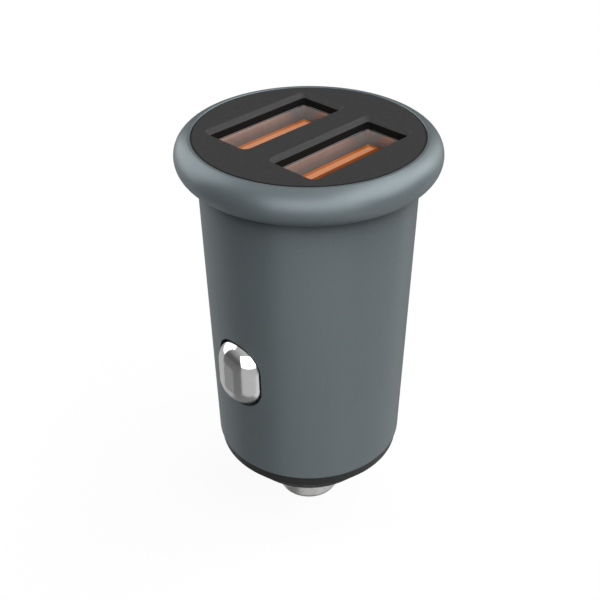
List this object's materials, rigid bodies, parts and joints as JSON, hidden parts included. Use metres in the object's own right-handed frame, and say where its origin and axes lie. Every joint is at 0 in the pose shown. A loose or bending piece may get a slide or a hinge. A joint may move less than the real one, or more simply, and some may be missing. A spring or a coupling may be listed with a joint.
{
  "type": "car usb charger plug",
  "caption": "Compact round charger plug for a vehicle power socket: rounded flange, tapered metal body, sprung side contacts and centre tip, and rectangular ports in the face.",
  "frame": {"origin": "on the charger's axis, in the plane where the flange's underside seats on the socket's rim", "axes": "+Z along the axis out of the socket, towards the face with the ports; X along the long side of the ports; the side contacts face +X and -X"},
  "size_m": [0.0248, 0.0248, 0.0441],
  "materials": {
    "anodised_body": "satin, grey-blue anodised",
    "face_plastic": "fine textured, dark grey",
    "nose_plastic": "smooth moulded, dark grey",
    "tip_metal": "turned, nickel plated",
    "contact_chrome": "bright plated",
    "spring_steel": "drawn wire",
    "terminal_brass": "stamped",
    "shell_steel": "folded sheet, plated",
    "inner_plastic": "moulded",
    "tongue_plastic": "glossy orange",
    "strip_brass": "plated spring strip",
    "board": "glass laminate, green",
    "ferrite": "moulded iron powder",
    "can_aluminium": "drawn can",
    "ceramic": "fired ceramic with tinned ends",
    "chip_body": "moulded resin with tinned leads"
  },
  "bodies": {
    "charger": {"housing": "anodised_body", "face_plate": "face_plastic", "nose_cap": "nose_plastic", "tip_spring": "spring_steel", "tip_terminal": "terminal_brass", "side_spring_left": "spring_steel", "side_spring_right": "spring_steel", "ground_plate_left": "shell_steel", "ground_plate_right": "shell_steel", "carrier_left": "inner_plastic", "carrier_right": "inner_plastic", "usb_shell_a": "shell_steel", "usb_shell_b": "shell_steel", "usb_tongue_a": "tongue_plastic", "usb_tongue_b": "tongue_plastic", "port_board": "board", "main_board": "board", "power_inductor": "ferrite", "input_capacitor": "can_aluminium", "output_capacitor": "ceramic", "diode": "chip_body", "fuse": "ceramic", "converter_chip": "chip_body", "port_chip": "chip_body", "ceramic_capacitors": "ceramic", "usb_contact_a_1": "strip_brass", "usb_contact_a_2": "strip_brass", "usb_contact_a_3": "strip_brass", "usb_contact_a_4": "strip_brass", "usb_contact_b_1": "strip_brass", "usb_contact_b_2": "strip_brass", "usb_contact_b_3": "strip_brass", "usb_contact_b_4": "strip_brass"},
    "centre_tip": {"centre_tip": "tip_metal"},
    "side_contact_left": {"side_contact_left": "contact_chrome"},
    "side_contact_right": {"side_contact_right": "contact_chrome"}
  },
  "joints": [
    {"name": "tip_travel", "type": "slide", "parent": "charger", "child": "centre_tip", "axis": [0, 0, 1], "range_m": [0, 0.003], "stiffness_N_per_m": 1500, "springref_m": -0.004, "deforming": ["tip_spring"]},
    {"name": "side_travel_left", "type": "slide", "parent": "charger", "child": "side_contact_left", "axis": [1, 0, 0], "range_m": [0, 0.0013], "stiffness_N_per_m": 2000, "springref_m": -0.0015, "deforming": ["side_spring_left"]},
    {"name": "side_travel_right", "type": "slide", "parent": "charger", "child": "side_contact_right", "axis": [-1, 0, 0], "range_m": [0, 0.0013], "stiffness_N_per_m": 2000, "springref_m": -0.0015, "deforming": ["side_spring_right"]}
  ]
}
